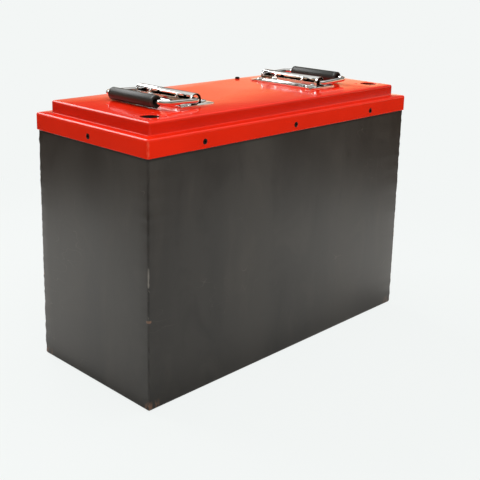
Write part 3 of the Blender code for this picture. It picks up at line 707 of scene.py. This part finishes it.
def make_plate(name, surface):
    """Stamped chrome base: flat flanges with rivet holes, an arched barrel with three windows a side."""
    half_x, half_y, t, corner, past = 0.021, 0.047, 0.0012, 0.004, 0.002
    base = LID_TOP + 0.0003 + t / 2
    mid_r, fillet = BARREL_BORE + t / 2, 0.0016
    side = mid_r + fillet
    path = [(-half_x, base)] + arc(-side, base + fillet, fillet, 270, 360, 6)
    path += arc(0.0, AXIS_Z, mid_r, 180, 0, 28)
    path += arc(side, base + fillet, fillet, 180, 270, 6) + [(half_x, base)]
    outline = offset_path(path, t / 2) + list(reversed(offset_path(path, -t / 2)))
    shape = bmesh.new()
    loft(shape, [[(x, y, z) for x, z in outline] for y in (-BARREL_Y, BARREL_Y)])
    plate = mesh_object(f"{name}_plate", shape)
    ends = bmesh.new()
    for s in (-1, 1):
        low, high = sorted((s * (BARREL_Y - 0.0003), s * half_y))
        box_into(ends, (-half_x, low, base - t / 2), (half_x, high, base + t / 2))
    cut(plate, ends, "UNION")
    holes = bmesh.new()
    for low, high in WINDOWS:
        made = box_into(holes, (-0.0105, low, AXIS_Z + WINDOW_LOW), (0.0105, high, AXIS_Z + WINDOW_HIGH))
        edges = {e for v in made for e in v.link_edges
                 if abs(e.verts[0].co.x - e.verts[1].co.x) > 0.01}
        bmesh.ops.bevel(holes, geom=list(edges), offset=0.0009, segments=4, affect="EDGES")
    for sx, sy in CORNERS:
        place = Matrix.Translation((sx * RIVET_X, sy * RIVET_Y, 0))
        column_into(holes, [(0.0022, 0.26), (0.0022, 0.28)], place, 24)
    trims = bmesh.new()  # each trim is what lies outside one rounded corner
    for sx, sy in CORNERS:
        start = {(1, 1): 0, (-1, 1): 90, (-1, -1): 180, (1, -1): 270}[(sx, sy)]
        inner = arc(sx * (half_x - corner), sy * (half_y - corner), corner, start, start + 90, 8)
        far = (sx * (half_x + past), sy * (half_y + past))
        first, last = inner[0], inner[-1]
        if sx * sy > 0:
            loop = inner + [(last[0], far[1]), far, (far[0], first[1])]
        else:
            loop = inner + [(far[0], last[1]), far, (first[0], far[1])]
        loft(trims, [[(x, y, z) for x, y in loop] for z in (base - past, base + past)])
    cut(plate, holes)
    cut(plate, trims)
    for vert in plate.data.vertices:
        vert.co.z -= max(abs(vert.co.y) - BARREL_Y, 0.0) * DROOP
    soften(plate, 0.00022, 2, 40.0)
    apply_modifiers(plate)
    plate.data.transform(Matrix.Translation((HANDLE_X[name], HANDLE_Y, 0)))
    finish(plate, surface, "pack", "chrome", f"{name}_handle_plate")


def make_bail(name, surface, rubber):
    """Chrome rod bent round the grip, and the rubber grip on its bar."""
    outward = -1 if name == "left" else 1
    reach, arm, rod = 0.042, 0.0446, 0.0025
    elbow, shoulder = 0.0036, 0.0072
    rise = math.asin((GRIP_Z - AXIS_Z) / reach)
    half = [(0.0, -0.0350)] + [(0.0, -0.0352 - 0.0008 * i) for i in range(6)]
    half += arc(elbow, -arm + elbow, elbow, 180, 270, 10)
    half += arc(reach - shoulder, -arm + shoulder, shoulder, 270, 360, 14)
    path = half + [(x, -y) for x, y in reversed(half)]
    turned = [(outward * x * math.cos(rise), y, x * math.sin(rise)) for x, y in path]
    place = Vector((HANDLE_X[name], HANDLE_Y, AXIS_Z))
    bail = tube(f"{name}_rod", [Vector(p) + place for p in turned], rod)
    finish(bail, surface, f"{name}_handle", "chrome", f"{name}_bail")
    half_length, r, groove = 0.033, 0.0063, 0.00012
    end = [(0.0028, half_length - 0.0026), (0.0040, half_length - 0.0026), (0.0043, half_length - 0.0006)]
    end += [(0.0046, half_length), (0.0053, half_length)]
    end += arc(r - 0.0010, half_length - 0.0010, 0.0010, 70, 0, 5)
    end += [(r, half_length - 0.002), (r - groove, half_length - 0.0024)]
    end += [(r - groove, half_length - 0.0030), (r, half_length - 0.0034)]
    profile = end + [(a, -b) for a, b in reversed(end)]
    grip = lathe(f"{name}_grip_sleeve", profile, 72, ring=True, angle=40.0)
    turn = Matrix.Rotation(math.radians(90), 4, "X")
    grip_x = place.x + outward * reach * math.cos(rise)
    grip.data.transform(Matrix.Translation((grip_x, HANDLE_Y, GRIP_Z)) @ turn)
    finish(grip, rubber, f"{name}_handle", "grip_rubber", f"{name}_grip")


def make_rivets(name, surface):
    """Four dome rivets through a plate and the lid, spread under it."""
    top, seat = LID_TOP, LID_TOP + 0.0018
    profile = [(0.0, top - 0.0030), (0.0026, top - 0.0030), (0.0029, top - 0.0026)]
    profile += [(0.0029, top - 0.0018), (0.0019, top - 0.0018), (0.0019, seat), (0.0037, seat)]
    profile += [(0.0038 * math.cos(a), seat + 0.0002 + 0.0019 * math.sin(a))
                for a in [math.pi / 2 * i / 8 for i in range(8)]]
    profile += [(0.0, seat + 0.0021)]
    for number, (sx, sy) in enumerate(CORNERS, 1):
        rivet = lathe(f"{name}_rivet_{number}", profile, 32, angle=50.0)
        at = (HANDLE_X[name] + sx * RIVET_X, HANDLE_Y + sy * RIVET_Y, 0)
        rivet.data.transform(Matrix.Translation(at))
        finish(rivet, surface, "pack", "chrome", f"{name}_handle_rivet_{number}")


# ---------------------------------------------------------------- terminals


def make_terminal(name, plastic, brass):
    """A moulded cup pegged under the lid's opening, with a threaded brass insert in its floor."""
    place = Matrix.Translation((TERMINAL_X[name], TERMINAL_Y, 0))
    top = LID_TOP - SHEET - 0.0003
    wall_r, bore_r, hole_r, rim_r = 0.0106, 0.0084, 0.0043, 0.0114
    foot, floor = 0.247, 0.2500
    profile = [(hole_r, foot), (0.0103, foot), (wall_r, 0.2474), (wall_r, top - 0.0019)]
    profile += [(rim_r, top - 0.0019), (rim_r, top), (0.0088, top), (bore_r, top - 0.0005)]
    profile += [(bore_r, 0.2503), (0.0081, floor), (hole_r, floor)]
    cup = lathe(f"{name}_cup", profile, 64, ring=True)
    flange = bmesh.new()
    outer = rounded_rectangle(0.012, 0.012, 0.003, 6)
    inner = rounded_rectangle(0.0108, 0.0108, 0.0107, 6)
    low, high = top - 0.002, top - 0.0001
    levels = ((outer, low), (outer, high), (inner, high), (inner, low))
    loft(flange, [[(a, b, z) for a, b in outline] for outline, z in levels], ring=True)
    cut(cup, flange, "UNION")
    pegs = bmesh.new()
    tip = [(0.0014, top - 0.0010), (0.0014, LID_TOP - 0.0012), (0.0011, LID_TOP - 0.0009)]
    for sx, sy in CORNERS:
        column_into(pegs, tip, Matrix.Translation((sx * PEG_PITCH, sy * PEG_PITCH, 0)), 20)
    cut(cup, pegs, "UNION")
    cup.data.transform(place)
    finish(cup, plastic, "pack", "moulded_black", f"{name}_terminal_cup")
    groove_r, crest_r, stem_r, head_r = 0.0034, 0.0029, 0.0040, 0.0066
    low, seat, high, pitch = 0.241, 0.2533, 0.2570, 0.001
    thread = []
    for i in range(8):
        z = 0.2562 - i * pitch
        thread += [(groove_r, z), (crest_r, z - pitch / 2)]
    body = [(0.0, low), (0.0036, low), (stem_r, 0.2414), (stem_r, seat), (0.0062, seat)]
    body += [(head_r, 0.2537), (head_r, 0.2566), (0.0062, high), (0.0039, high), (groove_r, 0.2565)]
    profile = body + thread + [(crest_r, 0.2478), (0.0, 0.2470)]
    insert = lathe(f"{name}_insert", profile, 48)
    insert.data.transform(place)
    finish(insert, brass, "pack", "brass", f"{name}_terminal_insert")


# ---------------------------------------------------------------- carried-over nodes


def dress_inner_nodes():
    """Procedural finishes for the CAD nodes inside the case, which stay as they are."""
    finishes = {
        "cell_film": plain("cell_blue_film", (0.020, 0.085, 0.30), (0.030, 0.12, 0.40), (0.25, 0.45),
                           scale=30.0),
        "aluminium": plain("milled_aluminium", (0.70, 0.70, 0.71), (0.82, 0.82, 0.83), (0.22, 0.40), 1.0,
                           90.0, stretch=(1, 0.1, 1)),
        "strap_steel": plain("steel_banding", (0.45, 0.45, 0.46), (0.60, 0.60, 0.60), (0.25, 0.45), 1.0,
                             80.0),
        "resin_board": plain("resin_board_tan", (0.45, 0.40, 0.22), (0.58, 0.53, 0.32), (0.45, 0.6),
                             scale=45.0),
        "green_board": plain("epoxy_board_green", (0.012, 0.09, 0.035), (0.02, 0.14, 0.055), (0.3, 0.45),
                             scale=70.0),
        "foam": plain("black_foam", (0.012, 0.012, 0.012), (0.03, 0.03, 0.03), (0.8, 0.95), scale=220.0,
                      grain=900.0, depth=0.0002),
        "cable_red": plain("cable_red_silicone", (0.42, 0.012, 0.010), (0.55, 0.02, 0.016), (0.4, 0.55),
                           scale=50.0),
        "cable_black": plain("cable_black_silicone", (0.012, 0.012, 0.012), (0.024, 0.024, 0.024),
                             (0.4, 0.55), scale=50.0)}
    for part in frame["record"]["subparts"]:
        surface = finishes.get(part["material_slot"])
        if surface is None:
            continue
        node = frame["nodes"][part["node"]]
        node.data.materials.clear()
        node.data.materials.append(surface)


# ---------------------------------------------------------------- stage


def floor_light(n):
    """How bright the floor is painted for reflections: a painted shadow close to the object and painted
    shade towards its front left.
    """
    x, y, _ = n.axes()
    past_left = n.math("MAXIMUM", n.math("SUBTRACT", n.math("MULTIPLY", x, -1.0), LENGTH / 2), 0.0)
    past_right = n.math("MAXIMUM", n.math("SUBTRACT", x, LENGTH / 2), 0.0)
    past_x = n.math("ADD", n.math("MULTIPLY", past_left, 4.0), past_right)
    past_y = n.math("MAXIMUM", n.math("SUBTRACT", n.math("ABSOLUTE", y), WIDTH / 2), 0.0)
    # Painted shadow: the floor darkens to 0.60 close to the object's footprint, in a narrower band past its
    # left end.
    open_floor = n.remap(length(n, past_x, past_y), 0.005, 0.080, 0.60, smooth=True)
    # Painted shade: darker towards the front left, down to 0.50.
    depth = n.remap(n.math("ADD", x, y), -0.38, 0.24, 0.50, smooth=True)
    return n.math("MULTIPLY", open_floor, depth)


def floor_material():
    """The camera sees a pale glowing floor that fades into the backdrop, other rays see lamp-lit paper with
    a painted shadow, painted shade and a faint painted glow.
    """
    n = Nodes("floor_pale")
    n.colour(n.ramp(n.noise(3.0, 3.0), [(0.3, (0.048, 0.050, 0.049)), (0.7, (0.052, 0.054, 0.053))]))
    n.set(Roughness=0.9, Specular_IOR_Level=0.0, Emission_Color=(*BACKDROP, 1), Emission_Strength=0.93)
    painted_floor_light = floor_light(n)
    paper = n.add("ShaderNodeBsdfPrincipled")
    tone = n.ramp(n.noise(5.0, 2.0), [(0.3, (0.72, 0.71, 0.68)), (0.7, (0.77, 0.76, 0.73))])
    # The paper's colour carries the painted shadow and shade, and its painted glow follows them.
    n.link(n.mix(1.0, tone, painted_floor_light, "MULTIPLY"), paper.inputs["Base Color"])
    n.link(n.math("MULTIPLY", painted_floor_light, 0.20), paper.inputs["Emission Strength"])
    paper.inputs["Roughness"].default_value = 1.0
    paper.inputs["Specular IOR Level"].default_value = 0.0
    paper.inputs["Emission Color"].default_value = (1.0, 0.985, 0.94, 1)
    glow = n.add("ShaderNodeEmission")
    glow.inputs["Color"].default_value = (*BACKDROP, 1)
    away = n.add("ShaderNodeVectorMath", operation="LENGTH")
    n.link(n.coords, away.inputs[0])
    fade = n.remap(away.outputs["Value"], 0.30, 0.75, smooth=True)
    looked_at = n.blend(fade, n.shader.outputs[0], glow.outputs[0])
    by_camera = n.add("ShaderNodeLightPath").outputs["Is Camera Ray"]
    either = n.blend(by_camera, paper.outputs[0], looked_at)
    n.link(either, n.tree.nodes["Material Output"].inputs["Surface"])
    return n.material


def surround_material():
    """Dim brown that glows a little."""
    n = Nodes("surround_brown")
    n.colour(n.ramp(n.noise(2.0, 2.0), [(0.3, (0.02, 0.014, 0.010)), (0.7, (0.04, 0.026, 0.018))]))
    n.set(Roughness=0.8, Specular_IOR_Level=0.0, Emission_Strength=0.07, Emission_Color=(0.9, 0.45, 0.22, 1))
    return n.material


def make_stage():
    """A pale floor, nearly shadowless where it is looked at, and a dim ring that only gloss sees."""
    floor_shape = bmesh.new()
    bmesh.ops.create_grid(floor_shape, x_segments=1, y_segments=1, size=6.0)
    floor = mesh_object("floor", floor_shape)
    floor.location.z = -0.0002
    floor.data.materials.append(floor_material())
    ring_shape = bmesh.new()
    loft(ring_shape, [circle(radius, 0, 64) for radius in (RING_INNER, RING_OUTER)], caps=False)
    ring = mesh_object("dim_surround", ring_shape)
    ring.location.z = 0.0004
    ring.data.materials.append(surround_material())
    ring.visible_camera = False
    ring.visible_diffuse = False
    ring.visible_shadow = False


def area_light(name, at, size, power, gloss=True, diffuse=True):
    """A rectangle of light that faces the pack's upper part."""
    target = Vector((0, 0, 0.2))
    data = bpy.data.lights.new(name, "AREA")
    data.shape = "RECTANGLE"
    data.size, data.size_y = size
    data.energy = power
    made = bpy.data.objects.new(name, data)
    made.location = at
    made.rotation_euler = (target - Vector(at)).to_track_quat("-Z", "Y").to_euler()
    made.visible_glossy = gloss
    made.visible_diffuse = diffuse
    bpy.context.scene.collection.objects.link(made)


def make_lights():
    """A key from behind and above, a soft top light, a weak front fill, and two cards only gloss sees."""
    front_at, front_size, rear_size = (-0.80, -0.85, 0.70), (1.0, 0.8), (1.2, 0.5)
    area_light("rear_key", (-0.10, 1.00, 1.15), rear_size, 20, gloss=False)
    area_light("top_soft", (0.12, -0.42, 1.25), (1.2, 1.0), 9.5, gloss=False)
    area_light("front_fill", front_at, front_size, 6, gloss=False)
    area_light("front_card", front_at, front_size, 2, diffuse=False)
    area_light("rear_card", (-0.10, 0.95, 1.00), rear_size, 8, diffuse=False)


def make_world():
    """A plain pale ground for the camera. Other rays see a room that is brown low down and white
    overhead, and brighter towards +X."""
    world = bpy.data.worlds.new("studio")
    world.use_nodes = True
    tree = world.node_tree
    plain_ground = tree.nodes["Background"]
    plain_ground.inputs["Color"].default_value = (*BACKDROP, 1)
    room = tree.nodes.new("ShaderNodeBackground")
    coords = tree.nodes.new("ShaderNodeTexCoord")
    split = tree.nodes.new("ShaderNodeSeparateXYZ")
    ramp = tree.nodes.new("ShaderNodeValToRGB")
    stops = [(0.0, (0.72, 0.58, 0.46)), (0.122, (0.82, 0.59, 0.38)), (0.144, (0.68, 0.40, 0.20)),
             (0.165, (0.62, 0.34, 0.15)), (0.181, (0.56, 0.31, 0.14)), (0.198, (0.08, 0.06, 0.05)),
             (0.60, (0.14, 0.14, 0.14)), (0.80, (0.92, 0.91, 0.88)), (1.0, (1.15, 1.14, 1.11))]
    set_stops(ramp.color_ramp, stops)
    path = tree.nodes.new("ShaderNodeLightPath")
    mix = tree.nodes.new("ShaderNodeMixShader")
    tree.links.new(coords.outputs["Generated"], split.inputs[0])
    tree.links.new(split.outputs["Z"], ramp.inputs["Fac"])
    tree.links.new(ramp.outputs["Color"], room.inputs["Color"])
    side = tree.nodes.new("ShaderNodeMapRange")
    side.inputs["From Min"].default_value = 0.56
    side.inputs["From Max"].default_value = 0.86
    side.inputs["To Min"].default_value = 0.72
    side.inputs["To Max"].default_value = 1.90
    tree.links.new(split.outputs["X"], side.inputs["Value"])
    tree.links.new(side.outputs[0], room.inputs["Strength"])
    tree.links.new(path.outputs["Is Camera Ray"], mix.inputs[0])
    tree.links.new(room.outputs[0], mix.inputs[1])
    tree.links.new(plain_ground.outputs[0], mix.inputs[2])
    tree.links.new(mix.outputs[0], tree.nodes["World Output"].inputs["Surface"])
    bpy.context.scene.world = world


def make_camera():
    """The viewpoint: 46 degrees to the left of the front face, about 14 degrees above level."""
    azimuth, elevation, roll = -45.997, 13.932, 1.298
    distance, right_by, up_by, lens = 0.9404, 0.0059, 0.0426, 64.40
    a, e = math.radians(azimuth), math.radians(elevation)
    back = Vector((math.sin(a) * math.cos(e), -math.cos(a) * math.cos(e), math.sin(e)))
    forward = -back
    right = forward.cross(Vector((0, 0, 1))).normalized()
    up = right.cross(forward)
    centre = Vector((0, 0, 0.14)) + back * distance + right * right_by + up * up_by
    c, s = math.cos(math.radians(roll)), math.sin(math.radians(roll))
    right, up = c * right + s * up, c * up - s * right
    data = bpy.data.cameras.new("camera")
    data.sensor_width = 36.0
    data.lens = lens
    data.shift_y = -0.15
    data.clip_start, data.clip_end = 0.01, 50.0
    made = bpy.data.objects.new("camera", data)
    made.matrix_world = Matrix((
        (right.x, up.x, back.x, centre.x),
        (right.y, up.y, back.y, centre.y),
        (right.z, up.z, back.z, centre.z),
        (0, 0, 0, 1)))
    bpy.context.scene.collection.objects.link(made)
    bpy.context.scene.camera = made


def main():
    """Builds every visible piece, the stage, the lights and the camera."""
    chrome = chrome_plate()
    rubber = grip_rubber()
    oxide = plain("black_oxide_steel", (0.005, 0.005, 0.005), (0.012, 0.011, 0.010), (0.35, 0.5), 0.6,
                  200.0)
    moulded = plain("moulded_black_nylon", (0.003, 0.003, 0.003), (0.006, 0.006, 0.006), (0.45, 0.6),
                    scale=90.0, specular=0.2)
    brass = plain("machined_brass", (0.50, 0.34, 0.12), (0.66, 0.48, 0.20), (0.2, 0.4), 1.0, 120.0,
                  stretch=(1, 1, 6))
    make_case(case_paint())
    make_lid(lid_paint())
    make_screws(oxide)
    make_vent(moulded)
    for name in HANDLE_X:
        make_plate(name, chrome)
        make_bail(name, chrome, rubber)
        make_rivets(name, chrome)
    for name in TERMINAL_X:
        make_terminal(name, moulded, brass)
    dress_inner_nodes()
    make_stage()
    make_world()
    make_lights()
    make_camera()
    bpy.context.scene.view_settings.view_transform = "Standard"


main()
